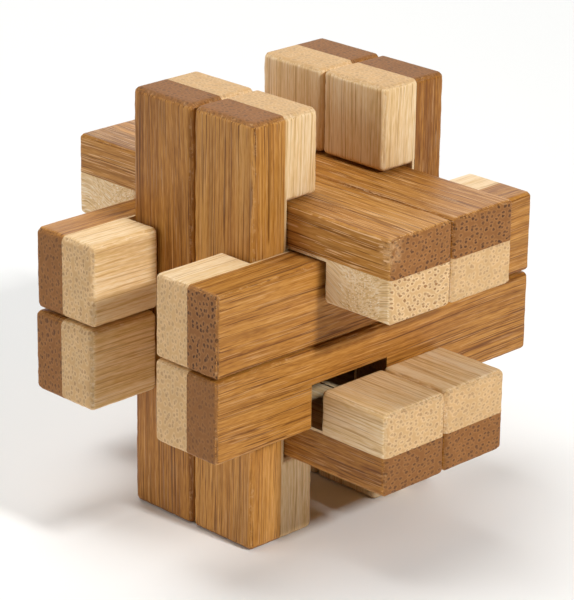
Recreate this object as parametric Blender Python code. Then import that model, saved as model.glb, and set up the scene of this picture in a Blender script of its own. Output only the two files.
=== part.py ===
"""Interlocking burr puzzle of twelve square bamboo sticks.

The sticks cross in three directions, two pairs to a direction, round an empty chamber in the middle.
Each stick is two plies glued face to face: a dark ply, whole from end to end, on the outside, and a
light ply on the inside. A long notch is milled through almost all of the light ply, so a stick has a
C shape: two thick light blocks at its ends and a thin light web between them, on the dark ply.
The blocks hook over the sticks that cross them and lock the puzzle.

One stick, the lower right one, has a window milled through its dark ply and web. The end block of the front
bottom stick, which is the key, slides through that window into the chamber, and that starts the
puzzle's release. Each other stick has only a little endwise play.

Metres, +Z up, +X to the right, -Y to the front. The origin is on the ground below the middle.
"""

from dataclasses import dataclass

import bmesh
import bpy
from mathutils import Matrix, Vector

# Driving dimensions
HALF_LENGTH = 0.0356  # half of a stick's length
PITCH = 0.0140  # width that one stick takes up in its pair
PAIR_GAP = 0.0003  # hairline between the two sticks of a pair
CHAMBER_REACH = 0.0073  # from the puzzle's middle to the inner face of an end block
LIGHT_PLY = 0.0073  # thickness of the light ply
DARK_PLY = 0.0066  # thickness of the dark ply
GLUE_GAP = 0.0003  # room kept between the two glued faces
CROSS_GAP = 0.0003  # between a notch's floor and the stick that crosses it
END_PLAY = 0.0003  # between a notch's end and the stick that crosses it
EDGE_ROUND = 0.0009  # rounding of every outside edge
EDGE_SEGMENTS = 2
SAME_PLACE = 0.00001  # two heights closer than this are the same

WINDOW_FRONT_ROOM = 0.0016  # clearance of the window round the key's end block
WINDOW_BACK_ROOM = 0.0016
WINDOW_TOP_ROOM = 0.0012
CUTTER_MARGIN = 0.0020  # how far the window's cutter runs past the stick

# Worked out from the driving dimensions
STICK_WIDTH = PITCH - PAIR_GAP
FAR_SIDE = PITCH - PAIR_GAP / 2  # a stick's far side face, from the middle plane of its pair
NEAR_SIDE = PAIR_GAP / 2
GLUE_PLANE = CHAMBER_REACH + LIGHT_PLY
OUTER_FACE = GLUE_PLANE + DARK_PLY
NOTCH_FLOOR = FAR_SIDE + CROSS_GAP
NOTCH_HALF = OUTER_FACE + END_PLAY
MIDDLE = Vector((0, 0, HALF_LENGTH))

DARK_BAMBOO = (0.36, 0.17, 0.065)
LIGHT_BAMBOO = (0.72, 0.50, 0.27)
DARK_ROUGHNESS = 0.48
LIGHT_ROUGHNESS = 0.52

RIGHT, BACK, UP = Vector((1, 0, 0)), Vector((0, 1, 0)), Vector((0, 0, 1))


@dataclass(frozen=True)
class Stick:
    """One stick: where it lies, and how far it sits along its own length from the middle."""

    name: str
    along: Vector
    outward: Vector  # from the puzzle's middle to the stick's dark face
    side: Vector  # from its pair's middle plane to this stick
    seat: float = 0.0
    windowed: bool = False

    def matrix(self):
        """The stick's axes, with its origin on its own line of travel."""
        across = self.outward.cross(self.along)
        axes = Matrix((self.along, across, self.outward)).transposed().to_4x4()
        centre = MIDDLE + self.side * PITCH / 2 + self.along * self.seat
        return Matrix.Translation(centre) @ axes


STICKS = (
    Stick("key_stick", RIGHT, -UP, -BACK),
    Stick("bottom_back_stick", RIGHT, -UP, BACK, seat=-0.0002),
    Stick("top_front_stick", RIGHT, UP, -BACK, seat=0.0002),
    Stick("top_back_stick", RIGHT, UP, BACK, seat=0.0001),
    Stick("window_stick", BACK, RIGHT, -UP, seat=-0.0002, windowed=True),
    Stick("right_upper_stick", BACK, RIGHT, UP, seat=-0.0001),
    Stick("left_lower_stick", BACK, -RIGHT, -UP, seat=-0.0002),
    Stick("left_upper_stick", BACK, -RIGHT, UP, seat=0.0002),
    Stick("front_left_upright", UP, -BACK, -RIGHT),
    Stick("front_right_upright", UP, -BACK, RIGHT),
    Stick("back_left_upright", UP, BACK, -RIGHT),
    Stick("back_right_upright", UP, BACK, RIGHT),
)


def bamboo(name, colour, roughness):
    """A Principled material of one ply."""
    material = bpy.data.materials.new(name)
    material.use_nodes = True
    shader = material.node_tree.nodes["Principled BSDF"]
    shader.inputs["Base Color"].default_value = (*colour, 1)
    shader.inputs["Roughness"].default_value = roughness
    shader.inputs["Metallic"].default_value = 0
    material.diffuse_color = (*colour, 1)
    return material


def is_rounded(edge):
    """True for every edge of the blank but those that meet a corner of the notch's floor."""
    return not any(abs(vert.co.z - NOTCH_FLOOR) < SAME_PLACE for vert in edge.verts)


def stick_blank():
    """The C-shaped stick before its two plies are told apart: X along it, Z outward from the middle."""
    outline = (
        (-HALF_LENGTH, CHAMBER_REACH),
        (-NOTCH_HALF, CHAMBER_REACH),
        (-NOTCH_HALF, NOTCH_FLOOR),
        (NOTCH_HALF, NOTCH_FLOOR),
        (NOTCH_HALF, CHAMBER_REACH),
        (HALF_LENGTH, CHAMBER_REACH),
        (HALF_LENGTH, OUTER_FACE),
        (-HALF_LENGTH, OUTER_FACE),
    )
    blank = bmesh.new()
    side = blank.faces.new([blank.verts.new((x, -STICK_WIDTH / 2, z)) for x, z in outline])
    swept = bmesh.ops.extrude_face_region(blank, geom=[side])["geom"]
    far_verts = [item for item in swept if isinstance(item, bmesh.types.BMVert)]
    bmesh.ops.translate(blank, verts=far_verts, vec=(0, STICK_WIDTH, 0))
    bmesh.ops.recalc_face_normals(blank, faces=blank.faces)
    rounded = [edge for edge in blank.edges if is_rounded(edge)]
    bmesh.ops.bevel(
        blank,
        geom=rounded,
        offset=EDGE_ROUND,
        offset_type="OFFSET",
        segments=EDGE_SEGMENTS,
        profile=0.5,
        affect="EDGES",
    )
    return blank


def ply_mesh(name, keep_outer):
    """The dark ply (keep_outer) or the light ply: the blank cut at the glue line and closed there."""
    blank = stick_blank()
    cut_height = GLUE_PLANE + (GLUE_GAP / 2 if keep_outer else -GLUE_GAP / 2)
    everything = [*blank.verts, *blank.edges, *blank.faces]
    cut = bmesh.ops.bisect_plane(
        blank,
        geom=everything,
        plane_co=(0, 0, cut_height),
        plane_no=(0, 0, 1),
        clear_outer=not keep_outer,
        clear_inner=keep_outer,
    )["geom_cut"]
    rim = [item for item in cut if isinstance(item, bmesh.types.BMEdge)]
    bmesh.ops.edgeloop_fill(blank, edges=rim)
    bmesh.ops.recalc_face_normals(blank, faces=blank.faces)
    mesh = bpy.data.meshes.new(name)
    blank.to_mesh(mesh)
    blank.free()
    return mesh


def add_to_scene(name, data, parent):
    thing = bpy.data.objects.new(name, data)
    bpy.context.scene.collection.objects.link(thing)
    thing.parent = parent
    return thing


def window_cutter(parent, seat):
    """A box that mills the window: it comes in from the stick's lower side, through both plies."""
    start = -(FAR_SIDE + WINDOW_FRONT_ROOM) - seat
    end = -NEAR_SIDE + WINDOW_BACK_ROOM - seat
    depth = FAR_SIDE - (CHAMBER_REACH - WINDOW_TOP_ROOM)
    low = Vector((start, -STICK_WIDTH / 2 - CUTTER_MARGIN, NOTCH_FLOOR - CUTTER_MARGIN))
    high = Vector((end, -STICK_WIDTH / 2 + depth, OUTER_FACE + CUTTER_MARGIN))
    shape = bmesh.new()
    bmesh.ops.create_cube(shape, size=1)
    for vert in shape.verts:
        vert.co = Vector(high[i] if vert.co[i] > 0 else low[i] for i in range(3))
    mesh = bpy.data.meshes.new("window_cutter")
    shape.to_mesh(mesh)
    shape.free()
    cutter = add_to_scene("window_cutter", mesh, parent)
    cutter.hide_render = True
    cutter.display_type = "WIRE"
    return cutter


def build_stick(stick):
    """An empty on the stick's line of travel, with the stick's two plies on it."""
    carrier = add_to_scene(stick.name + "_line", None, None)
    carrier.matrix_world = stick.matrix()
    dark = add_to_scene(stick.name + "_dark_ply", ply_mesh(stick.name + "_dark_ply", True), carrier)
    light = add_to_scene(stick.name + "_light_ply", ply_mesh(stick.name + "_light_ply", False), carrier)
    dark.data.materials.append(bamboo(dark.name, DARK_BAMBOO, DARK_ROUGHNESS))
    light.data.materials.append(bamboo(light.name, LIGHT_BAMBOO, LIGHT_ROUGHNESS))
    if stick.windowed:
        cutter = window_cutter(carrier, stick.seat)
        for ply in (dark, light):
            milling = ply.modifiers.new("window", "BOOLEAN")
            milling.operation = "DIFFERENCE"
            milling.solver = "EXACT"
            milling.object = cutter


def main():
    for thing in list(bpy.data.objects):
        bpy.data.objects.remove(thing)
    for stick in STICKS:
        build_stick(stick)


main()
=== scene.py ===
"""Looks of the bamboo burr puzzle: twelve two-ply sticks, sanded and lightly waxed, on a pale table.

Every stick is milled by one Geometry Nodes tree from the sizes of its two CAD plies, and every ply takes
one of two bamboo finishes, whose grain is a solid pattern that runs along the stick, so that the same
fibre bundles show as streaks on a side and as dots on an end.
"""

import logging
import math
from dataclasses import dataclass
from enum import Enum
from typing import Optional

import bmesh
import bpy
from mathutils import Matrix, Vector


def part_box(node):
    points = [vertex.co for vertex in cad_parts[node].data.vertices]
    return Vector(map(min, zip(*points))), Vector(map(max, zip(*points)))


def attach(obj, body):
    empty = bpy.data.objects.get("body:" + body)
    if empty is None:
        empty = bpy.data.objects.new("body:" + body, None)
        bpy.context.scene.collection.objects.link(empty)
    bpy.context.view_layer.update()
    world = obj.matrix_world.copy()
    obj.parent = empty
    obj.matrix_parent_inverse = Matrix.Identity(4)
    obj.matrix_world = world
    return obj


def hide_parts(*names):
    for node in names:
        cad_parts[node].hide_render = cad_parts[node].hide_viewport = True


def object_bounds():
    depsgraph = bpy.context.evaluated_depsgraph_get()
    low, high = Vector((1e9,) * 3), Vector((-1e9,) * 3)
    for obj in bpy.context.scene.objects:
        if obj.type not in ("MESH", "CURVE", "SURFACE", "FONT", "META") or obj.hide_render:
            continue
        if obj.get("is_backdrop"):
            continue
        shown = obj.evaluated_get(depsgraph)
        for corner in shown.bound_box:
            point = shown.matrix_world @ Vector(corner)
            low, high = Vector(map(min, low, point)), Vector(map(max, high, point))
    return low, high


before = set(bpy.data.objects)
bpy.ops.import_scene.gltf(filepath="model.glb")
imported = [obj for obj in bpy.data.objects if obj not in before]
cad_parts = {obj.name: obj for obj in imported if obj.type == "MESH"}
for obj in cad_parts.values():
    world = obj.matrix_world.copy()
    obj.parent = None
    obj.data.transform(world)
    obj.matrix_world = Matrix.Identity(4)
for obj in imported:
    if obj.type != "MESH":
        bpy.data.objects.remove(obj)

log = logging.getLogger("burr")

MM = 0.001
PER_MM = (1 / MM,) * 3  # turns a place in metres into millimetres

ATTRIBUTE = "ShaderNodeAttribute"
COMBINE = "ShaderNodeCombineXYZ"
MAP_RANGE = "ShaderNodeMapRange"
MATH = "ShaderNodeMath"
MIX = "ShaderNodeMix"
NOISE = "ShaderNodeTexNoise"
SEPARATE = "ShaderNodeSeparateXYZ"
VECTOR_MATH = "ShaderNodeVectorMath"
POSITION = "GeometryNodeInputPosition"

ADD, SUBTRACT = {"operation": "ADD"}, {"operation": "SUBTRACT"}
MULTIPLY, MULTIPLY_ADD = {"operation": "MULTIPLY"}, {"operation": "MULTIPLY_ADD"}
ABSOLUTE, MAXIMUM, SCALE = {"operation": "ABSOLUTE"}, {"operation": "MAXIMUM"}, {"operation": "SCALE"}
SMOOTH = {"interpolation_type": "SMOOTHSTEP"}
COLOURS = {"data_type": "RGBA"}

NodeValue = object  # a number, a tuple, a data block, a socket to link from, or a list of such sockets
Socket = bpy.types.NodeSocket


class Ply(Enum):
    """The two layers that a stick is glued up from."""

    DARK = "dark_ply"
    LIGHT = "light_ply"


def srgb(code: str) -> tuple[float, float, float, float]:
    """Turns an sRGB hex value into linear light.

    Args:
        code: A colour such as "#C08A50".

    Returns:
        Linear red, green and blue, and an alpha of 1.
    """
    parts = [int(code[i : i + 2], 16) / 255 for i in (1, 3, 5)]
    linear = [part / 12.92 if part <= 0.04045 else ((part + 0.055) / 1.055) ** 2.4 for part in parts]
    return (*linear, 1.0)


def add_node(
    tree: bpy.types.NodeTree,
    kind: str,
    settings: Optional[dict[str, object]] = None,
    inputs: Optional[dict[object, NodeValue]] = None,
) -> bpy.types.Node:
    """Adds one node to a tree.

    Args:
        tree: The tree that takes the node.
        kind: The node's type, such as "ShaderNodeMath".
        settings: Values of the node's own properties.
        inputs: For a socket's name or number, a value, another node's output to link from, or a list
            of outputs for a socket that takes several.

    Returns:
        The new node.
    """
    node = tree.nodes.new(kind)
    for name, value in (settings or {}).items():
        setattr(node, name, value)
    for key, value in (inputs or {}).items():
        socket = node.inputs[key]
        for source in value if isinstance(value, list) else [value]:
            if isinstance(source, Socket):
                tree.links.new(source, socket)
            else:
                socket.default_value = source
    return node


def add_steps(
    tree: bpy.types.NodeTree, kind: str, values: dict[str, NodeValue], steps: tuple[tuple[str, ...], ...]
) -> None:
    """Adds a chain of arithmetic to a tree, one node for each step.

    Args:
        tree: The tree that takes the nodes.
        kind: The nodes' type.
        values: What the steps work on, by name. Each step adds its result to it.
        steps: For each step the result's name, the operation, and the names of what it works on.
    """
    for result, operation, *given in steps:
        inputs = {place: values[name] for place, name in enumerate(given)}
        values[result] = add_node(tree, kind, {"operation": operation}, inputs).outputs[0]


def squareness(tree: bpy.types.NodeTree, normal: Socket) -> Socket:
    """The largest part of a normal: 1 on a face square to the sticks, and less on a rounded edge.

    Args:
        tree: The tree that takes the nodes.
        normal: The surface's normal.

    Returns:
        A value from 0.58 to 1.
    """
    sizes = add_node(tree, VECTOR_MATH, ABSOLUTE, {0: normal}).outputs[0]
    parts = add_node(tree, SEPARATE, None, {0: sizes}).outputs
    larger = add_node(tree, MATH, MAXIMUM, {0: parts[0], 1: parts[1]}).outputs[0]
    return add_node(tree, MATH, MAXIMUM, {0: larger, 1: parts[2]}).outputs[0]


# ---------------------------------------------------------------------------------------------
# Finishes


@dataclass(frozen=True)
class BambooFinish:
    """Laminated bamboo, sanded and lightly waxed. Lengths are in millimetres.

    Bamboo has no rings or knots. It is pale pith with long fibre bundles running through it, so a side
    shows fine parallel streaks, and a sawn end shows dark dots with pale rims.
    """

    name: str
    side_dark: str
    side_middle: str
    side_light: str
    streak: str
    end_ground: str
    end_rim: str
    end_dot: str
    # The pale colour below, worn, is used for lifted flecks, for the nick, and for the edge spots, which are
    # partly wear and partly painted highlight.
    worn: str
    streak_strength: float
    band_contrast: float
    roughness: float
    vessel_strength: float
    bundle_spacing: float = 1.0
    band_width: float = 2.6
    fibre_width: float = 0.36
    vessel_width: float = 0.23
    meander: float = 1.1

    # Slow bending of the grain: waves to a millimetre along, across and through the stick.
    DRIFT_WAVES = (0.022, 0.05, 0.05)
    FIGURE_WAVES = (0.11, 0.03, 0.03)
    FIGURE_SWING = 9.0

    # Fibre bundles: how they are scattered, pushed about and flattened, and the size of core and rim.
    BUNDLE_SCATTER = 0.8
    BUNDLE_PUSH_WAVES = 1.7
    BUNDLE_PUSH = 0.42
    BUNDLE_SQUEEZE = (0.86, 1.18, 1.0)
    CORE_RADII = (0.28, 0.42)
    FAINTEST_CORE = 0.65
    RIM_FADE = (0.28, 0.62)

    # How square to the grain a surface is where the end's colours start and finish, and how square to
    # the stick it is where an edge's pale spots, partly wear and partly painted highlight, finish and start.
    END_FADE = (0.45, 0.8)
    EDGE_FADE = (0.74, 0.93)

    # Noise lies mostly between these two values.
    NOISE_SPAN = (0.3, 0.7)
    FIBRE_CONTRAST = 0.20
    PITH_CONTRAST = 0.13
    RAMP_ENDS = (0.15, 0.85)
    END_TONE_SHARE = 0.30
    PIT_DEPTH = 0.4
    RELIEF = 0.05 * MM
    SAWN_ROUGHNESS = 0.18  # how much rougher a sawn end is than a side
    WAX_SPECULAR = 0.28

    def material(self) -> bpy.types.Material:
        """Builds the finish as a node material.

        Returns:
            The material. It reads the attributes grain (millimetres along, across and through the
            stick), grain_axis (the stick's direction), tone, pores, flecks, nicked and figure.
        """
        material = bpy.data.materials.new(self.name)
        material.use_nodes = True
        tree = material.node_tree
        tree.nodes.clear()
        grain, axis = (
            add_node(tree, ATTRIBUTE, {"attribute_name": name}).outputs["Vector"]
            for name in ("grain", "grain_axis")
        )
        tone, pores, flecks, nicked, figure = (
            add_node(tree, ATTRIBUTE, {"attribute_name": name}).outputs["Fac"]
            for name in ("tone", "pores", "flecks", "nicked", "figure")
        )
        bent = self._meandered(tree, grain, figure)
        dots, rims = self._bundles(tree, self._cross_section(tree, bent))
        bands = self._streak_noise(tree, bent, 1 / self.band_width, 0.008, 3)
        fibres = self._streak_noise(tree, bent, 1 / self.fibre_width, 0.012, 4)
        end = self._end_mask(tree, axis)
        flecked = self._fleck_mask(tree, bent, flecks)
        # Pale spots on the edges stand partly for wear and partly for painted highlights; in the nick they
        # are wear.
        worn = self._wear_and_highlight_mask(tree, grain, nicked)
        side_colour = self._side_colour(tree, bent, bands, fibres, dots, tone)
        end_colour = self._end_colour(tree, dots, rims, bands, pores, tone)
        pale = srgb(self.worn)
        side_colour = add_node(tree, MIX, COLOURS, {0: flecked, 6: side_colour, 7: pale}).outputs[2]
        colour = add_node(tree, MIX, COLOURS, {0: end, 6: side_colour, 7: end_colour}).outputs[2]
        # Paints the edge spots and the nick pale: wear, and on the edges also painted highlight.
        colour = add_node(tree, MIX, COLOURS, {0: worn, 6: colour, 7: pale}).outputs[2]
        height = self._height(tree, dots, fibres, end)
        bump = add_node(
            tree, "ShaderNodeBump", None, {"Strength": 0.5, "Distance": self.RELIEF, "Height": height}
        ).outputs["Normal"]
        rough_span = {"To Min": self.roughness, "To Max": self.roughness + self.SAWN_ROUGHNESS}
        rough = add_node(tree, MAP_RANGE, None, {"Value": end, **rough_span}).outputs["Result"]
        surface = {"Base Color": colour, "Roughness": rough, "Normal": bump}
        surface["Specular IOR Level"] = self.WAX_SPECULAR
        shader = add_node(tree, "ShaderNodeBsdfPrincipled", None, surface)
        add_node(tree, "ShaderNodeOutputMaterial", None, {"Surface": shader.outputs["BSDF"]})
        return material

    def _meandered(self, tree: bpy.types.NodeTree, grain: Socket, figure: Socket) -> Socket:
        """Bends the grain a little as grown fibres run, and more where a knuckle gives the ply figure.

        Args:
            tree: The material's tree.
            grain: The straight grain's coordinates, in millimetres.
            figure: How strongly this ply is figured, from 0 to 1.

        Returns:
            The bent grain's coordinates.
        """
        slow = add_node(tree, VECTOR_MATH, MULTIPLY, {0: grain, 1: self.DRIFT_WAVES}).outputs[0]
        drift = add_node(tree, NOISE, None, {"Vector": slow, "Scale": 1.0, "Detail": 1.0}).outputs["Color"]
        centred = add_node(tree, VECTOR_MATH, SUBTRACT, {0: drift, 1: (0.5, 0.5, 0.5)}).outputs[0]
        reach = (0, 2 * self.meander, 2 * self.meander)
        straight = add_node(tree, VECTOR_MATH, MULTIPLY_ADD, {0: centred, 1: reach, 2: grain}).outputs[0]
        quick = add_node(tree, VECTOR_MATH, MULTIPLY, {0: grain, 1: self.FIGURE_WAVES}).outputs[0]
        swirl = add_node(tree, NOISE, None, {"Vector": quick, "Scale": 1.0, "Detail": 0.0}).outputs["Color"]
        swing, back = (0, self.FIGURE_SWING, self.FIGURE_SWING), -self.FIGURE_SWING / 2
        swung = add_node(tree, VECTOR_MATH, MULTIPLY_ADD, {0: swirl, 1: swing, 2: (0, back, back)}).outputs[0]
        figured = add_node(tree, VECTOR_MATH, SCALE, {0: swung, "Scale": figure}).outputs[0]
        return add_node(tree, VECTOR_MATH, ADD, {0: straight, 1: figured}).outputs[0]

    def _cross_section(self, tree: bpy.types.NodeTree, bent: Socket) -> Socket:
        """The two coordinates across the grain, pushed about so that the bundles aren't in rows.

        Args:
            tree: The material's tree.
            bent: The grain's coordinates, in millimetres.

        Returns:
            A vector whose first two parts are the coordinates.
        """
        parts = add_node(tree, SEPARATE, None, {0: bent}).outputs
        flat = add_node(tree, COMBINE, None, {0: parts[1], 1: parts[2]}).outputs[0]
        pushed = add_node(
            tree,
            NOISE,
            {"noise_dimensions": "2D"},
            {"Vector": flat, "Scale": self.BUNDLE_PUSH_WAVES, "Detail": 2.0},
        ).outputs["Color"]
        push = (self.BUNDLE_PUSH, self.BUNDLE_PUSH, 0)
        uneven = add_node(tree, VECTOR_MATH, MULTIPLY_ADD, {0: pushed, 1: push, 2: flat}).outputs[0]
        return add_node(tree, VECTOR_MATH, MULTIPLY, {0: uneven, 1: self.BUNDLE_SQUEEZE}).outputs[0]

    def _bundles(self, tree: bpy.types.NodeTree, cross: Socket) -> tuple[Socket, Socket]:
        """Fibre bundles: cells across the grain, each a dark core with a pale rim.

        Args:
            tree: The material's tree.
            cross: The coordinates across the grain, in millimetres.

        Returns:
            The masks of the cores and of the rims, from 0 to 1.
        """
        cells = add_node(
            tree,
            "ShaderNodeTexVoronoi",
            {"voronoi_dimensions": "2D", "feature": "F1"},
            {"Vector": cross, "Scale": 1 / self.bundle_spacing, "Randomness": self.BUNDLE_SCATTER},
        )
        distance = cells.outputs["Distance"]
        own = add_node(tree, "ShaderNodeSeparateColor", None, {0: cells.outputs["Color"]}).outputs
        smallest, largest = self.CORE_RADII
        size = add_node(tree, MAP_RANGE, None, {"Value": own[0], "To Min": smallest, "To Max": largest})
        depth = add_node(tree, MAP_RANGE, None, {"Value": own[1], "To Min": self.FAINTEST_CORE})
        radius = size.outputs["Result"]
        soft = add_node(tree, MATH, MULTIPLY, {0: radius, 1: 0.5}).outputs[0]
        core_span = {"From Min": soft, "From Max": radius, "To Min": depth.outputs["Result"], "To Max": 0}
        core = add_node(tree, MAP_RANGE, SMOOTH, {"Value": distance, **core_span}).outputs["Result"]
        inner, outer = self.RIM_FADE
        rim_span = {"From Min": inner, "From Max": outer, "To Min": 1, "To Max": 0}
        rim = add_node(tree, MAP_RANGE, SMOOTH, {"Value": distance, **rim_span}).outputs["Result"]
        return core, rim

    def _streak_noise(
        self, tree: bpy.types.NodeTree, bent: Socket, across: float, along: float, detail: float
    ) -> Socket:
        """Noise drawn out along the grain.

        Args:
            tree: The material's tree.
            bent: The grain's coordinates, in millimetres.
            across: Waves to a millimetre across the grain.
            along: Waves to a millimetre along it.
            detail: Octaves of finer noise.

        Returns:
            A value around 0.5.
        """
        drawn = add_node(tree, VECTOR_MATH, MULTIPLY, {0: bent, 1: (along, across, across)}).outputs[0]
        return add_node(tree, NOISE, None, {"Vector": drawn, "Scale": 1.0, "Detail": detail}).outputs["Fac"]

    def _end_mask(self, tree: bpy.types.NodeTree, axis: Socket) -> Socket:
        """A mask: 1 where the surface is cut across the grain, and 0 where it runs with it.

        Args:
            tree: The material's tree.
            axis: The direction of the grain.

        Returns:
            The mask.
        """
        normal = add_node(tree, "ShaderNodeNewGeometry").outputs["Normal"]
        product = {"operation": "DOT_PRODUCT"}
        facing = add_node(tree, VECTOR_MATH, product, {0: normal, 1: axis}).outputs["Value"]
        size = add_node(tree, MATH, ABSOLUTE, {0: facing}).outputs[0]
        start, finish = self.END_FADE
        return add_node(
            tree, MAP_RANGE, SMOOTH, {"Value": size, "From Min": start, "From Max": finish}
        ).outputs["Result"]

    def _wear_and_highlight_mask(self, tree: bpy.types.NodeTree, grain: Socket, nicked: Socket) -> Socket:
        """A mask of pale spots along the edges, partly rubbed wear and partly painted highlight where the
        rounded edges catch the light, and of the nick, where the surface is rubbed paler.

        Args:
            tree: The material's tree.
            grain: The straight grain's coordinates, in millimetres.
            nicked: How deep in a nick the surface is, from 0 to 1.

        Returns:
            The mask.
        """
        normal = add_node(tree, "ShaderNodeNewGeometry").outputs["Normal"]
        finish, start = self.EDGE_FADE
        edge_span = {"From Min": finish, "From Max": start, "To Min": 1, "To Max": 0}
        square = squareness(tree, normal)
        edge = add_node(tree, MAP_RANGE, SMOOTH, {"Value": square, **edge_span}).outputs["Result"]
        patch = add_node(
            tree, NOISE, None, {"Vector": grain, "Scale": 1.1, "Detail": 4.0, "Roughness": 0.7}
        ).outputs["Fac"]
        spots = add_node(
            tree, MAP_RANGE, SMOOTH, {"Value": patch, "From Min": 0.50, "From Max": 0.70, "To Max": 0.38}
        ).outputs["Result"]
        fray = add_node(
            tree, MAP_RANGE, SMOOTH, {"Value": patch, "From Min": 0.35, "From Max": 0.6, "To Max": 0.8}
        ).outputs["Result"]
        # The edge spots: partly rubbed wear, partly painted highlight on the rounded edges.
        handled = add_node(tree, MATH, MULTIPLY, {0: edge, 1: spots}).outputs[0]
        frayed = add_node(tree, MATH, MULTIPLY, {0: nicked, 1: fray}).outputs[0]
        return add_node(tree, MATH, MAXIMUM, {0: handled, 1: frayed}).outputs[0]

    def _lines(self, tree: bpy.types.NodeTree, bent: Socket, dots: Socket) -> Socket:
        """Dark lines on the sides: bundles laid open by the saw, and the thin vessels between them.

        Args:
            tree: The material's tree.
            bent: The grain's coordinates, in millimetres.
            dots: Cores of the fibre bundles.

        Returns:
            The lines' strength, from 0 to 1.
        """
        fading = self._streak_noise(tree, bent, 0.8, 0.04, 1)
        fine = self._streak_noise(tree, bent, 1 / self.vessel_width, 0.008, 0)
        broken = self._streak_noise(tree, bent, 2.2, 0.07, 2)
        shown, thin, parts = (
            add_node(
                tree,
                MAP_RANGE,
                SMOOTH,
                {"Value": noise, "From Min": low, "From Max": high, "To Max": strength},
            ).outputs["Result"]
            for noise, low, high, strength in (
                (fading, 0.42, 0.62, self.streak_strength),
                (fine, 0.57, 0.65, 1.0),
                (broken, 0.40, 0.56, self.vessel_strength),
            )
        )
        opened = add_node(tree, MATH, MULTIPLY, {0: dots, 1: shown}).outputs[0]
        vessels = add_node(tree, MATH, MULTIPLY, {0: thin, 1: parts}).outputs[0]
        return add_node(tree, MATH, MAXIMUM, {0: opened, 1: vessels}).outputs[0]

    def _fleck_mask(self, tree: bpy.types.NodeTree, bent: Socket, amount: Socket) -> Socket:
        """A mask of short pale flecks along the grain, where single fibres have lifted.

        Args:
            tree: The material's tree.
            bent: The grain's coordinates, in millimetres.
            amount: How strongly this stick's flecks show, from 0 to 1.

        Returns:
            The mask.
        """
        streaks = self._streak_noise(tree, bent, 6.0, 0.1, 0)
        flecks = add_node(
            tree, MAP_RANGE, SMOOTH, {"Value": streaks, "From Min": 0.65, "From Max": 0.70, "To Max": 0.9}
        ).outputs["Result"]
        return add_node(tree, MATH, MULTIPLY, {0: flecks, 1: amount}).outputs[0]

    def _side_colour(
        self,
        tree: bpy.types.NodeTree,
        bent: Socket,
        bands: Socket,
        fibres: Socket,
        dots: Socket,
        tone: Socket,
    ) -> Socket:
        """The colour of a face that runs with the grain.

        Args:
            tree: The material's tree.
            bent: The grain's coordinates, in millimetres.
            bands: Broad streaks.
            fibres: Fine streaks.
            dots: Cores of the fibre bundles.
            tone: The stick's own tone, 0.5 for the middle one.

        Returns:
            The colour.
        """
        pith = self._streak_noise(tree, bent, 4.5, 0.5, 1)
        low, high = self.NOISE_SPAN
        level = tone
        for noise, contrast in (
            (bands, self.band_contrast),
            (fibres, self.FIBRE_CONTRAST),
            (pith, self.PITH_CONTRAST),
        ):
            span = {"From Min": low, "From Max": high, "To Min": -contrast, "To Max": contrast}
            shift = add_node(tree, MAP_RANGE, {"clamp": False}, {"Value": noise, **span}).outputs["Result"]
            level = add_node(tree, MATH, ADD, {0: level, 1: shift}).outputs[0]
        ramp = add_node(tree, "ShaderNodeValToRGB", None, {"Fac": level})
        stops = ramp.color_ramp.elements
        stops[0].position, stops[1].position = self.RAMP_ENDS
        stops[0].color, stops[1].color = srgb(self.side_dark), srgb(self.side_light)
        middle = stops.new(0.5)
        middle.color = srgb(self.side_middle)
        plain = ramp.outputs["Color"]
        lines = self._lines(tree, bent, dots)
        return add_node(tree, MIX, COLOURS, {0: lines, 6: plain, 7: srgb(self.streak)}).outputs[2]

    def _end_colour(
        self, tree: bpy.types.NodeTree, dots: Socket, rims: Socket, bands: Socket, pores: Socket, tone: Socket
    ) -> Socket:
        """The colour of a face sawn across the grain.

        Args:
            tree: The material's tree.
            dots: Cores of the fibre bundles.
            rims: Pale rims round them.
            bands: Broad changes of tone.
            pores: How strongly this stick's dots show, from 0 to 1.
            tone: The stick's own tone, 0.5 for the middle one.

        Returns:
            The colour.
        """
        colour = srgb(self.end_ground)
        for mask, paint in ((rims, self.end_rim), (dots, self.end_dot)):
            share = add_node(tree, MATH, MULTIPLY, {0: mask, 1: pores}).outputs[0]
            colour = add_node(tree, MIX, COLOURS, {0: share, 6: colour, 7: srgb(paint)}).outputs[2]
        weight = self.END_TONE_SHARE
        level = 1 - weight
        for change in (bands, tone):
            level = add_node(tree, MATH, MULTIPLY_ADD, {0: change, 1: weight, 2: level}).outputs[0]
        return add_node(tree, VECTOR_MATH, SCALE, {0: colour, "Scale": level}).outputs[0]

    def _height(self, tree: bpy.types.NodeTree, dots: Socket, fibres: Socket, end: Socket) -> Socket:
        """Relief left by the sander: the soft pith lies a little below the hard fibres.

        Args:
            tree: The material's tree.
            dots: Cores of the fibre bundles.
            fibres: Fine streaks.
            end: 1 on faces cut across the grain.

        Returns:
            The height.
        """
        pits = add_node(tree, MATH, MULTIPLY, {0: dots, 1: end}).outputs[0]
        return add_node(tree, MATH, MULTIPLY_ADD, {0: pits, 1: -self.PIT_DEPTH, 2: fibres}).outputs[0]


# Bamboo steamed under pressure until its sugars turn brown: warm brown, satin from wax and handling.
CARBONISED_BAMBOO = BambooFinish(
    name="carbonised_bamboo",
    side_dark="#885219",
    side_middle="#AF7630",
    side_light="#C79048",
    streak="#683809",
    end_ground="#8B5A2B",
    end_rim="#9F6C3B",
    end_dot="#4F2D15",
    # worn is also the painted highlight along the edges, mixed with their wear.
    worn="#DDB280",
    streak_strength=0.5,
    vessel_strength=0.85,
    band_contrast=0.12,
    roughness=0.48,
)

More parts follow.
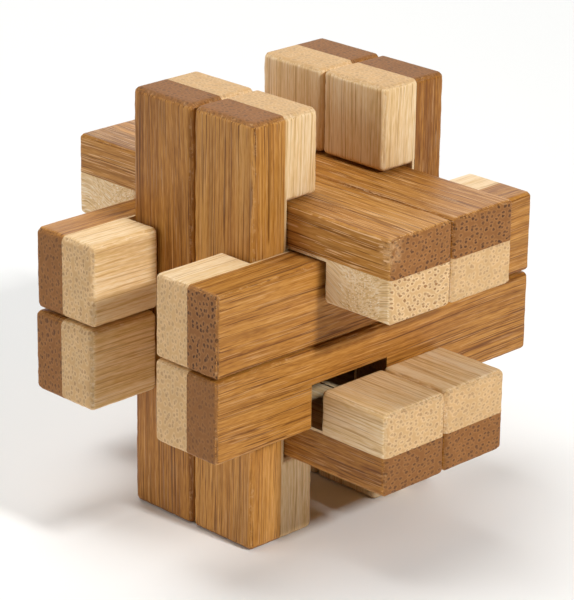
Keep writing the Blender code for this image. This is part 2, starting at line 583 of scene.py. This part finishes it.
# Bamboo as it grew, only dried and sanded: pale cream with faint tan streaks, and a soft satin surface.
NATURAL_BAMBOO = BambooFinish(
    name="natural_bamboo",
    side_dark="#D0A666",
    side_middle="#E7C592",
    side_light="#F3DBB6",
    streak="#B58446",
    end_ground="#CCA472",
    end_rim="#DFBF92",
    end_dot="#9C6F42",
    # worn is also the painted highlight along the edges, mixed with their wear.
    worn="#F4E2C4",
    streak_strength=0.36,
    vessel_strength=0.6,
    band_contrast=0.15,
    roughness=0.52,
)

FINISH_OF = {Ply.DARK: CARBONISED_BAMBOO, Ply.LIGHT: NATURAL_BAMBOO}


# ---------------------------------------------------------------------------------------------
# Milling


@dataclass(frozen=True)
class StickSizes:
    """A stick's sizes in its own axes: X along it, Y across its pair, Z out from the puzzle's middle."""

    half_length: float
    half_width: float
    inner_face: float
    glue_plane: float
    outer_face: float


class Mill:
    """The Geometry Nodes trees that cut a ply from its sizes, and the bench that runs them."""

    FLOAT, VECTOR, SWITCH = "NodeSocketFloat", "NodeSocketVector", "NodeSocketBool"
    BLOCK_INPUTS = (("Low", VECTOR), ("High", VECTOR), ("Round", FLOAT), ("Flat Cells", VECTOR))
    PLY_INPUTS = (
        ("Dark", SWITCH),
        ("Windowed", SWITCH),
        ("Half Length", FLOAT),
        ("Half Width", FLOAT),
        ("Inner Face", FLOAT),
        ("Glue Plane", FLOAT),
        ("Outer Face", FLOAT),
        ("Glue Line", FLOAT),
        ("Block Length", FLOAT),
        ("Web", FLOAT),
        ("Round", FLOAT),
        ("Window Low", VECTOR),
        ("Window High", VECTOR),
        ("Unevenness", FLOAT),
        ("Edge Wear", FLOAT),
        ("Grain Offset", VECTOR),
        ("Grain Axis", VECTOR),
        ("Tone", FLOAT),
        ("Pores", FLOAT),
        ("Flecks", FLOAT),
        ("Figure", FLOAT),
        ("Nick", VECTOR),
        ("Nick Reach", FLOAT),
        ("Nick Depth", FLOAT),
        ("Finish", "NodeSocketMaterial"),
    )
    BOOLEAN = "GeometryNodeMeshBoolean"
    CUT_AWAY = {"operation": "DIFFERENCE", "solver": "EXACT"}
    FUSE = {"operation": "UNION", "solver": "EXACT"}
    SHAPES = {"input_type": "GEOMETRY"}

    EDGE_CELLS = 4  # grid cells round half of an edge's bend
    BAR_CELLS = (110, 12, 12)  # grid cells on the flats of a whole stick
    BLOCK_CELLS = (22, 12, 12)  # and of an end block
    SPARE_ROUNDS = 3.0  # a bar runs this many edge radii past where it is cut off
    WEB_SET_BACK = 0.03 * MM  # keeps the web's sides just inside the dark ply's
    CUTTER_REACH = 0.1  # farther out than any stick, in metres

    SHARP_ANGLE = math.radians(32)  # faces that meet at more than this are shaded with a sharp edge

    # Sanding: the waves to a millimetre of its unevenness, the noise at which a chip starts and is at
    # its deepest, and how square to the stick a surface is where the edges' wear is full and where it ends.
    BROAD_WAVES = 0.16
    SMALL_WAVES = 0.55
    CHIP_SPAN = (0.42, 0.75)
    EDGE_SPAN = (0.7, 0.97)

    def __init__(self) -> None:
        """Builds the trees once, for all plies."""
        self.block_tree = self._rounded_block_tree()
        self.ply_tree = self._ply_tree()

    def _new_tree(
        self, name: str, sockets: tuple[tuple[str, str], ...]
    ) -> tuple[bpy.types.NodeTree, dict[str, NodeValue]]:
        """Starts a tree with named inputs.

        Args:
            name: The tree's name.
            sockets: Each input's name and type.

        Returns:
            The tree, and its inputs by name.
        """
        tree = bpy.data.node_groups.new(name, "GeometryNodeTree")
        tree.interface.new_socket("Geometry", in_out="OUTPUT", socket_type="NodeSocketGeometry")
        for socket_name, socket_type in sockets:
            tree.interface.new_socket(socket_name, in_out="INPUT", socket_type=socket_type)
        given = add_node(tree, "NodeGroupInput")
        return tree, {socket_name: given.outputs[socket_name] for socket_name, _ in sockets}

    def _rounded_block_tree(self) -> bpy.types.NodeTree:
        """A box with rounded edges: the grid of a cube, its outer rings of cells bent round the edges.

        Returns:
            The tree.
        """
        tree, values = self._new_tree("rounded_block", self.BLOCK_INPUTS)
        values["zero"], values["half_of"], values["one"] = (0, 0, 0), (0.5, 0.5, 0.5), (1, 1, 1)
        values["edge_cells"] = (2 * self.EDGE_CELLS,) * 3
        values["place"] = add_node(tree, POSITION).outputs[0]
        steps = (
            ("cells", "ADD", "Flat Cells", "edge_cells"),
            ("counts", "ADD", "cells", "one"),
            ("span", "SUBTRACT", "High", "Low"),
            ("half", "MULTIPLY", "span", "half_of"),
            ("total", "ADD", "High", "Low"),
            ("middle", "MULTIPLY", "total", "half_of"),
            ("core", "SUBTRACT", "half", "Round"),
            ("flat_share", "DIVIDE", "Flat Cells", "cells"),
            ("edge_share", "SUBTRACT", "one", "flat_share"),
            ("reach", "ABSOLUTE", "place"),
            ("flat_reach", "MINIMUM", "reach", "flat_share"),
            ("core_share", "DIVIDE", "flat_reach", "flat_share"),
            ("on_core", "MULTIPLY", "core_share", "core"),
            ("past", "SUBTRACT", "reach", "flat_share"),
            ("past_flat", "MAXIMUM", "past", "zero"),
            ("past_core", "DIVIDE", "past_flat", "edge_share"),
            ("heading", "NORMALIZE", "past_core"),
            ("bend", "MULTIPLY", "heading", "Round"),
            ("bent", "ADD", "on_core", "bend"),
            ("side", "SIGN", "place"),
            ("shaped", "MULTIPLY", "bent", "side"),
            ("moved", "ADD", "shaped", "middle"),
        )
        add_steps(tree, VECTOR_MATH, values, steps)
        counts = add_node(tree, SEPARATE, None, {0: values["counts"]}).outputs
        vertices = {f"Vertices {axis}": count for axis, count in zip("XYZ", counts)}
        cube = add_node(tree, "GeometryNodeMeshCube", None, {"Size": (2, 2, 2), **vertices}).outputs["Mesh"]
        bent = {"Geometry": cube, "Position": values["moved"]}
        block = add_node(tree, "GeometryNodeSetPosition", None, bent)
        add_node(tree, "NodeGroupOutput", None, {"Geometry": block.outputs["Geometry"]})
        return tree

    def _ply_tree(self) -> bpy.types.NodeTree:
        """One ply of a stick: rounded bars, milled to the notch, the glue line and the window.

        Returns:
            The tree.
        """
        tree, size = self._new_tree("milled_ply", self.PLY_INPUTS)
        corner = self._corners(tree, size)
        far = (self.CUTTER_REACH,) * 3
        near = (-self.CUTTER_REACH,) * 3

        dark_bar = self._bar(tree, size, corner["dark_low"], corner["dark_high"], self.BAR_CELLS)
        under_glue = self._cutter(tree, near, corner["glue_high"])
        dark = add_node(tree, self.BOOLEAN, self.CUT_AWAY, {0: dark_bar, 1: under_glue}).outputs["Mesh"]

        far_block = self._bar(tree, size, corner["far_low"], corner["far_high"], self.BLOCK_CELLS)
        near_block = self._bar(tree, size, corner["near_low"], corner["near_high"], self.BLOCK_CELLS)
        web = self._cutter(tree, corner["web_low"], corner["web_high"])
        light_bar = add_node(tree, self.BOOLEAN, self.FUSE, {1: [far_block, near_block, web]}).outputs["Mesh"]
        over_glue = self._cutter(tree, corner["glue_low"], far)
        light = add_node(tree, self.BOOLEAN, self.CUT_AWAY, {0: light_bar, 1: over_glue}).outputs["Mesh"]

        choice = {"Switch": size["Dark"], "False": light, "True": dark}
        ply = add_node(tree, "GeometryNodeSwitch", self.SHAPES, choice).outputs["Output"]
        window = self._cutter(tree, size["Window Low"], size["Window High"])
        milled = add_node(tree, self.BOOLEAN, self.CUT_AWAY, {0: ply, 1: window}).outputs["Mesh"]
        choice = {"Switch": size["Windowed"], "False": ply, "True": milled}
        ply = add_node(tree, "GeometryNodeSwitch", self.SHAPES, choice).outputs["Output"]
        ply = add_node(tree, "GeometryNodeSetShadeSmooth", None, {"Geometry": ply}).outputs["Geometry"]
        ply = self._marked(tree, ply, size)
        ply = add_node(tree, "GeometryNodeRealizeInstances", None, {"Geometry": ply}).outputs["Geometry"]
        ply = add_node(tree, "GeometryNodeSetMaterial", None, {"Geometry": ply, "Material": size["Finish"]})
        add_node(tree, "NodeGroupOutput", None, {"Geometry": ply.outputs["Geometry"]})
        return tree

    def _corners(self, tree: bpy.types.NodeTree, size: dict[str, NodeValue]) -> dict[str, Socket]:
        """Works out the corners of the bars, of the web and of the cuts at the glue line.

        Args:
            tree: The ply's tree.
            size: The tree's inputs by name.

        Returns:
            The corners by name.
        """
        values = {**size, "minus": -1.0, "half": 0.5, "rounds": self.SPARE_ROUNDS}
        values.update({"set_back": self.WEB_SET_BACK, "far": self.CUTTER_REACH, "near": -self.CUTTER_REACH})
        steps = (
            ("back_end", "MULTIPLY", "Half Length", "minus"),
            ("near_edge", "MULTIPLY", "Half Width", "minus"),
            ("spare", "MULTIPLY", "Round", "rounds"),
            ("half_line", "MULTIPLY", "Glue Line", "half"),
            ("below_glue", "SUBTRACT", "Glue Plane", "spare"),
            ("above_glue", "ADD", "Glue Plane", "spare"),
            ("line_top", "ADD", "Glue Plane", "half_line"),
            ("line_bottom", "SUBTRACT", "Glue Plane", "half_line"),
            ("mouth", "SUBTRACT", "Half Length", "Block Length"),
            ("back_mouth", "MULTIPLY", "mouth", "minus"),
            ("web_end", "ADD", "mouth", "spare"),
            ("web_back", "MULTIPLY", "web_end", "minus"),
            ("sanded_edge", "SUBTRACT", "Half Width", "Unevenness"),
            ("web_edge", "SUBTRACT", "sanded_edge", "set_back"),
            ("web_near", "MULTIPLY", "web_edge", "minus"),
            ("web_floor", "SUBTRACT", "Glue Plane", "Web"),
        )
        add_steps(tree, MATH, values, steps)
        corners = (
            ("dark_low", "back_end", "near_edge", "below_glue"),
            ("dark_high", "Half Length", "Half Width", "Outer Face"),
            ("glue_high", "far", "far", "line_top"),
            ("far_low", "mouth", "near_edge", "Inner Face"),
            ("far_high", "Half Length", "Half Width", "above_glue"),
            ("near_low", "back_end", "near_edge", "Inner Face"),
            ("near_high", "back_mouth", "Half Width", "above_glue"),
            ("web_low", "web_back", "web_near", "web_floor"),
            ("web_high", "web_end", "web_edge", "above_glue"),
            ("glue_low", "near", "near", "line_bottom"),
        )
        return {
            name: add_node(tree, COMBINE, None, {0: values[x], 1: values[y], 2: values[z]}).outputs[0]
            for name, x, y, z in corners
        }

    def _bar(
        self,
        tree: bpy.types.NodeTree,
        size: dict[str, NodeValue],
        low: NodeValue,
        high: NodeValue,
        flat_cells: tuple[int, int, int],
    ) -> Socket:
        """A rounded bar with the small unevenness of a sanded one.

        Args:
            tree: The ply's tree.
            size: The tree's inputs by name.
            low: The bar's lowest corner.
            high: Its highest corner.
            flat_cells: The grid cells on its flats.

        Returns:
            The bar.
        """
        block = add_node(
            tree,
            "GeometryNodeGroup",
            {"node_tree": self.block_tree},
            {"Low": low, "High": high, "Round": size["Round"], "Flat Cells": flat_cells},
        )
        return self._sanded(tree, block.outputs["Geometry"], size)

    def _cutter(self, tree: bpy.types.NodeTree, low: NodeValue, high: NodeValue) -> Socket:
        """A sharp box.

        Args:
            tree: The ply's tree.
            low: The box's lowest corner.
            high: Its highest corner.

        Returns:
            The box.
        """
        total = add_node(tree, VECTOR_MATH, ADD, {0: low, 1: high}).outputs[0]
        centre = add_node(tree, VECTOR_MATH, SCALE, {0: total, "Scale": 0.5}).outputs[0]
        span = add_node(tree, VECTOR_MATH, SUBTRACT, {0: high, 1: low}).outputs[0]
        cube = add_node(tree, "GeometryNodeMeshCube", None, {"Size": span}).outputs["Mesh"]
        moved = add_node(tree, "GeometryNodeTransform", None, {"Geometry": cube, "Translation": centre})
        return moved.outputs["Geometry"]

    def _grain(self, tree: bpy.types.NodeTree, size: dict[str, NodeValue]) -> Socket:
        """The coordinates that the grain is read at, shifted so that no two plies have the same grain.

        Args:
            tree: The ply's tree.
            size: The tree's inputs by name.

        Returns:
            Millimetres along, across and through the stick.
        """
        place = add_node(tree, POSITION).outputs[0]
        offset = size["Grain Offset"]
        return add_node(tree, VECTOR_MATH, MULTIPLY_ADD, {0: place, 1: PER_MM, 2: offset}).outputs[0]

    def _sanded(self, tree: bpy.types.NodeTree, block: Socket, size: dict[str, NodeValue]) -> Socket:
        """Moves a bar's surface in a little, unevenly, and more along its edges.

        Args:
            tree: The ply's tree.
            block: The bar.
            size: The tree's inputs by name.

        Returns:
            The sanded bar.
        """
        grain = self._grain(tree, size)
        normal = add_node(tree, "GeometryNodeInputNormal").outputs[0]
        broad = add_node(tree, NOISE, None, {"Vector": grain, "Scale": self.BROAD_WAVES, "Detail": 1.0})
        small = add_node(tree, NOISE, None, {"Vector": grain, "Scale": self.SMALL_WAVES, "Detail": 3.0})
        low, high = self.EDGE_SPAN
        edge_span = {"From Min": low, "From Max": high, "To Min": 1, "To Max": 0}
        edge = add_node(tree, MAP_RANGE, None, {"Value": squareness(tree, normal), **edge_span})
        low, high = self.CHIP_SPAN
        chip_span = {"From Min": low, "From Max": high}
        chips = add_node(tree, MAP_RANGE, None, {"Value": small.outputs["Fac"], **chip_span})
        values = {
            **size,
            "broad": broad.outputs["Fac"],
            "edge": edge.outputs["Result"],
            "chips": chips.outputs["Result"],
            "nicked": self._nicked(tree, size),
            "minus": -1.0,
        }
        steps = (
            ("worn", "MULTIPLY", "chips", "edge"),
            ("wear", "MULTIPLY", "worn", "Edge Wear"),
            ("sanding", "MULTIPLY_ADD", "broad", "Unevenness", "wear"),
            ("depth", "MULTIPLY_ADD", "nicked", "Nick Depth", "sanding"),
            ("inward", "MULTIPLY", "depth", "minus"),
        )
        add_steps(tree, MATH, values, steps)
        offset = add_node(tree, VECTOR_MATH, SCALE, {0: normal, "Scale": values["inward"]}).outputs[0]
        sanded = add_node(tree, "GeometryNodeSetPosition", None, {"Geometry": block, "Offset": offset})
        return sanded.outputs["Geometry"]

    def _nicked(self, tree: bpy.types.NodeTree, size: dict[str, NodeValue]) -> Socket:
        """How deep in the nick a place is.

        Args:
            tree: The ply's tree.
            size: The tree's inputs by name.

        Returns:
            1 in the nick's middle, falling to 0 at its reach.
        """
        place = add_node(tree, POSITION).outputs[0]
        away = add_node(tree, VECTOR_MATH, SUBTRACT, {0: place, 1: size["Nick"]}).outputs[0]
        distance = add_node(tree, VECTOR_MATH, {"operation": "LENGTH"}, {0: away}).outputs["Value"]
        span = {"From Min": 0.0, "From Max": size["Nick Reach"], "To Min": 1.0, "To Max": 0.0}
        return add_node(tree, MAP_RANGE, SMOOTH, {"Value": distance, **span}).outputs["Result"]

    def _marked(self, tree: bpy.types.NodeTree, ply: Socket, size: dict[str, NodeValue]) -> Socket:
        """Stores what the bamboo finishes read: the grain's coordinates and the stick's own character.

        Args:
            tree: The ply's tree.
            ply: The milled ply.
            size: The tree's inputs by name.

        Returns:
            The ply with its attributes.
        """
        stored = (
            ("grain", "FLOAT_VECTOR", self._grain(tree, size)),
            ("grain_axis", "FLOAT_VECTOR", size["Grain Axis"]),
            ("tone", "FLOAT", size["Tone"]),
            ("pores", "FLOAT", size["Pores"]),
            ("flecks", "FLOAT", size["Flecks"]),
            ("nicked", "FLOAT", self._nicked(tree, size)),
            ("figure", "FLOAT", size["Figure"]),
        )
        for name, data_type, value in stored:
            ply = add_node(
                tree,
                "GeometryNodeStoreNamedAttribute",
                {"data_type": data_type, "domain": "POINT"},
                {"Geometry": ply, "Name": name, "Value": value},
            ).outputs["Geometry"]
        return ply

    def cut(self, name: str, values: dict[str, NodeValue], place: Matrix) -> bpy.types.Object:
        """Runs the ply tree and turns its result into a plain mesh in the row frame.

        Args:
            name: The new piece's name.
            values: A value for each of the tree's inputs.
            place: The stick's axes and origin in the row frame.

        Returns:
            The piece, at the origin, with its place in its mesh.
        """
        blank = bpy.data.objects.new(name + "_blank", bpy.data.meshes.new(name + "_blank"))
        bpy.context.scene.collection.objects.link(blank)
        modifier = blank.modifiers.new("mill", "NODES")
        modifier.node_group = self.ply_tree
        for item in self.ply_tree.interface.items_tree:
            if item.in_out == "INPUT":
                modifier[item.identifier] = values[item.name]
        graph = bpy.context.evaluated_depsgraph_get()
        mesh = bpy.data.meshes.new_from_object(blank.evaluated_get(graph), depsgraph=graph)
        bpy.data.objects.remove(blank)
        mesh.name = name
        mesh.transform(place)
        mesh.set_sharp_from_angle(angle=self.SHARP_ANGLE)
        piece = bpy.data.objects.new(name, mesh)
        bpy.context.scene.collection.objects.link(piece)
        return piece


# ---------------------------------------------------------------------------------------------
# The puzzle


@dataclass
class Stick:
    """One stick of the puzzle, read from its two CAD plies. Lengths are in metres."""

    name: str
    tone: float = 0.5
    light_tone: float = 0.5
    pores: float = 0.6
    light_pores: float = 0.6
    flecks: float = 0.3
    figure: float = 0.0
    nick_depth: float = 0.0
    nick_reach: float = 0.1 * MM
    seed: int = 0
    windowed: bool = False
    block_length: float = 14.1 * MM
    web: float = 0.50 * MM
    glue_line: float = 0.02 * MM
    edge_round: float = 0.90 * MM
    unevenness: float = 0.05 * MM
    edge_wear: float = 0.28 * MM
    window_front_room: float = 1.6 * MM
    window_back_room: float = 1.6 * MM
    window_top_room: float = 1.2 * MM

    # Shifts of the grain from one stick to the next, and from light ply to dark, in millimetres.
    GRAIN_STEP = (137.0, 41.0, 23.0)
    DARK_SHIFT = 17.0

    def node(self, ply: Ply) -> str:
        """The name of the CAD node of one ply."""
        return f"{self.name}_{ply.value}"

    def measure(self, middle: Vector) -> tuple[StickSizes, Matrix]:
        """Reads the stick's directions, place and sizes from the boxes of its two CAD plies.

        Args:
            middle: The puzzle's middle.

        Returns:
            The sizes, and the stick's axes and origin in the row frame.
        """
        dark_low, dark_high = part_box(self.node(Ply.DARK))
        light_low, light_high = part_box(self.node(Ply.LIGHT))
        dark_span = dark_high - dark_low
        apart = (dark_low + dark_high - light_low - light_high) / 2
        along = max(range(3), key=lambda i: dark_span[i])
        out = max(range(3), key=lambda i: abs(apart[i]))
        across = 3 - along - out
        sign = math.copysign(1, apart[out])
        origin = (dark_low + dark_high) / 2
        origin[out] = middle[out]
        dark_reach = sorted(abs(side[out] - middle[out]) for side in (dark_low, dark_high))
        light_reach = sorted(abs(side[out] - middle[out]) for side in (light_low, light_high))
        sizes = StickSizes(
            half_length=dark_span[along] / 2,
            half_width=dark_span[across] / 2,
            inner_face=light_reach[0],
            glue_plane=(light_reach[1] + dark_reach[0]) / 2,
            outer_face=dark_reach[1],
        )
        along_axis = Vector([float(i == along) for i in range(3)])
        out_axis = Vector([sign * (i == out) for i in range(3)])
        axes = Matrix((along_axis, out_axis.cross(along_axis), out_axis)).transposed().to_4x4()
        return sizes, Matrix.Translation(origin) @ axes

    def window(self, sizes: StickSizes, place: Matrix) -> tuple[Vector, Vector]:
        """The box that mills the window: the key's end block, with room round it.

        Args:
            sizes: This stick's sizes.
            place: This stick's axes and origin.

        Returns:
            Two opposite corners of the box, in the stick's own axes.
        """
        key_low, key_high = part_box("key_stick_light_ply")
        to_stick = place.inverted()
        front = (to_stick @ key_low).x - self.window_front_room
        back = (to_stick @ key_high).x + self.window_back_room
        top = (to_stick @ key_high).y + self.window_top_room
        low = Vector((front, -2 * sizes.half_width, sizes.inner_face + self.block_length / 4))
        return low, Vector((back, top, 2 * sizes.outer_face))

    def nick_place(self, sizes: StickSizes) -> tuple[float, float]:
        """Where across the stick's end its corner was knocked: on the near edge, in the dark ply."""
        return -sizes.half_width, (sizes.glue_plane + 2 * sizes.outer_face) / 3

    def build(
        self, mill: Mill, finishes: dict[Ply, bpy.types.Material], middle: Vector
    ) -> list[bpy.types.Object]:
        """Mills both plies.

        Args:
            mill: The mill that cuts them.
            finishes: The material of each ply.
            middle: The puzzle's middle.

        Returns:
            The dark piece and the light piece.
        """
        sizes, place = self.measure(middle)
        window_low, window_high = self.window(sizes, place) if self.windowed else (Vector(), Vector())
        along_step, across_step, through_step = (step * self.seed for step in self.GRAIN_STEP)
        made = []
        for ply in Ply:
            is_dark = ply is Ply.DARK
            values = {
                "Dark": is_dark,
                "Windowed": self.windowed,
                "Half Length": sizes.half_length,
                "Half Width": sizes.half_width,
                "Inner Face": sizes.inner_face,
                "Glue Plane": sizes.glue_plane,
                "Outer Face": sizes.outer_face,
                "Glue Line": self.glue_line,
                "Block Length": self.block_length,
                "Web": self.web,
                "Round": self.edge_round,
                "Window Low": tuple(window_low),
                "Window High": tuple(window_high),
                "Unevenness": self.unevenness,
                "Edge Wear": self.edge_wear,
                "Grain Offset": (along_step, across_step + self.DARK_SHIFT * is_dark, through_step),
                "Grain Axis": tuple(place.col[0].xyz),
                "Tone": self.tone if is_dark else self.light_tone,
                "Pores": self.pores if is_dark else self.light_pores,
                "Flecks": self.flecks,
                "Figure": 0.0 if is_dark else self.figure,
                "Nick": (sizes.half_length, *self.nick_place(sizes)),
                "Nick Reach": self.nick_reach,
                "Nick Depth": self.nick_depth,
                "Finish": finishes[ply],
            }
            piece = mill.cut(f"{self.name}_{ply.value}_milled", values, place)
            made.append(piece)
            log.info("%s: %d faces", piece.name, len(piece.data.polygons))
        return made

    def dress(self, pieces: list[bpy.types.Object]) -> None:
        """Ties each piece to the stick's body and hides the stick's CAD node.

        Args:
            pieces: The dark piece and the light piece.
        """
        for ply, piece in zip(Ply, pieces):
            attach(piece, self.name)
            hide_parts(self.node(ply))


@dataclass
class Studio:
    """A pale table under soft studio light, and the camera. Lengths are in metres, angles in degrees."""

    aim: tuple[float, float, float] = (0.44 * MM, -0.46 * MM, 33.9 * MM)
    azimuth: float = 45.11
    elevation: float = 20.99
    roll: float = 0.744
    distance: float = 471.3 * MM
    lens: float = 173.86
    table_side: float = 6.0
    light_distance: float = 0.7
    room_strength: float = 0.04

    def build_table(self) -> None:
        """A plain pale table top, at the height of the puzzle's feet."""
        shape = bmesh.new()
        bmesh.ops.create_grid(shape, x_segments=1, y_segments=1, size=self.table_side / 2)
        mesh = bpy.data.meshes.new("table_top")
        shape.to_mesh(mesh)
        shape.free()
        table = bpy.data.objects.new("table_top", mesh)
        bpy.context.scene.collection.objects.link(table)
        # Matt white laminate: pale and even, so that only the puzzle's soft shadow shows on it.
        material = bpy.data.materials.new("white_laminate")
        material.use_nodes = True
        shader = material.node_tree.nodes["Principled BSDF"]
        shader.inputs["Base Color"].default_value = srgb("#F7F7F5")
        shader.inputs["Roughness"].default_value = 0.8
        mesh.materials.append(material)
        table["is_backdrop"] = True

    def build_lights(self) -> None:
        """One small softbox to the right, four broad ones round the puzzle, and a dim pale room."""
        for name, azimuth, elevation, side, power in (
            ("key_softbox", 92.5, 31.0, 0.055, 3.45),
            ("back_softbox", 225.0, 24.0, 0.70, 2.3),
            ("top_softbox", -75.0, 76.0, 0.40, 3.0),
            ("left_softbox", -40.0, 25.0, 0.40, 0.85),
            ("front_softbox", -20.0, 8.0, 0.40, 1.05),
        ):
            self._softbox(name, azimuth, elevation, side, power)
        world = bpy.data.worlds.new("pale_room")
        world.use_nodes = True
        background = world.node_tree.nodes["Background"]
        background.inputs["Color"].default_value = (1.0, 1.0, 1.0, 1.0)
        background.inputs["Strength"].default_value = self.room_strength
        bpy.context.scene.world = world

    def _direction(self, azimuth: float, elevation: float) -> Vector:
        """The direction from the puzzle to a viewer: azimuth 0 is in front, 90 to the right."""
        around, up = math.radians(azimuth), math.radians(elevation)
        return Vector((math.sin(around) * math.cos(up), -math.cos(around) * math.cos(up), math.sin(up)))

    def _softbox(self, name: str, azimuth: float, elevation: float, side: float, power: float) -> None:
        """Adds one square softbox that faces the puzzle.

        Args:
            name: The light's name.
            azimuth: Its direction round the puzzle, in degrees.
            elevation: Its height above the table, in degrees.
            side: Its side length, in metres.
            power: Its power, in watts.
        """
        lamp = bpy.data.lights.new(name, "AREA")
        lamp.shape, lamp.size, lamp.energy = "SQUARE", side, power
        light = bpy.data.objects.new(name, lamp)
        bpy.context.scene.collection.objects.link(light)
        direction = self._direction(azimuth, elevation)
        light.location = Vector(self.aim) + direction * self.light_distance
        light.rotation_euler = direction.to_track_quat("Z", "Y").to_euler()

    def build_camera(self) -> None:
        """The camera, with a long lens, a little above the puzzle and off its front right corner."""
        lens = bpy.data.cameras.new("camera")
        lens.lens = self.lens
        lens.clip_start = 0.05
        camera = bpy.data.objects.new("camera", lens)
        bpy.context.scene.collection.objects.link(camera)
        direction = self._direction(self.azimuth, self.elevation)
        camera.location = Vector(self.aim) + direction * self.distance
        facing = direction.to_track_quat("Z", "Y").to_matrix().to_4x4()
        turn = Matrix.Rotation(math.radians(self.roll), 4, "Z")
        camera.matrix_world = Matrix.Translation(camera.location) @ facing @ turn
        bpy.context.scene.camera = camera


@dataclass
class BurrPuzzle:
    """The whole puzzle: twelve sticks round a chamber."""

    sticks: tuple[Stick, ...]

    def build(self, low: Vector, high: Vector) -> None:
        """Mills and dresses every stick.

        Args:
            low: The lowest corner of the CAD model.
            high: Its highest corner.
        """
        middle = (low + high) / 2
        mill = Mill()
        finishes = {ply: FINISH_OF[ply].material() for ply in Ply}
        for stick in self.sticks:
            stick.dress(stick.build(mill, finishes, middle))


CRISP, SOFT = 0.75 * MM, 1.05 * MM  # rounding of the edges of the least and the most handled sticks

STICKS = (
    Stick("key_stick", seed=1, tone=0.38, light_tone=0.56, pores=0.8, light_pores=0.7),
    Stick("bottom_back_stick", seed=2, light_tone=0.56, pores=0.8),
    Stick(
        "top_front_stick", seed=3, tone=0.60, light_tone=0.54, pores=0.9, light_pores=1.0, flecks=1.0,
        figure=1.0, nick_depth=0.5 * MM, nick_reach=3.4 * MM, edge_round=CRISP,
    ),
    Stick("top_back_stick", seed=4, tone=0.44, pores=1.0, flecks=0.8, edge_round=CRISP),
    Stick("window_stick", seed=5, tone=0.46, pores=0.5, windowed=True, edge_round=CRISP),
    Stick("right_upper_stick", seed=6, tone=0.48, light_tone=0.62, pores=1.0, edge_round=CRISP),
    # Its light ply is darker than the others partly by its own tone and partly as painted shade for the
    # shadow on its inner face.
    Stick(
        "left_lower_stick", seed=7, tone=0.48, light_tone=0.36, pores=0.8, light_pores=0.7,
        edge_round=SOFT,
    ),
    Stick(
        "left_upper_stick", seed=8, tone=0.48, light_tone=0.48, pores=0.7, light_pores=0.7,
        edge_round=SOFT,
    ),
    Stick("front_left_upright", seed=9, tone=0.43, light_pores=0.5, edge_round=SOFT),
    Stick("front_right_upright", seed=10, tone=0.64, light_tone=0.52, light_pores=0.5, edge_round=SOFT),
    Stick("back_left_upright", seed=11, tone=0.46, light_tone=0.52, light_pores=0.5),
    Stick("back_right_upright", seed=12, tone=0.30, light_tone=0.54, light_pores=0.5),
)


def main() -> None:
    """Builds the camera, the studio and the puzzle."""
    logging.basicConfig(level=logging.INFO, format="%(message)s")
    cad_low, cad_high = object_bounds()
    studio = Studio()
    studio.build_camera()
    studio.build_table()
    studio.build_lights()
    bpy.context.scene.view_settings.view_transform = "Standard"
    BurrPuzzle(STICKS).build(Vector(cad_low), Vector(cad_high))


if __name__ == "__main__":
    main()
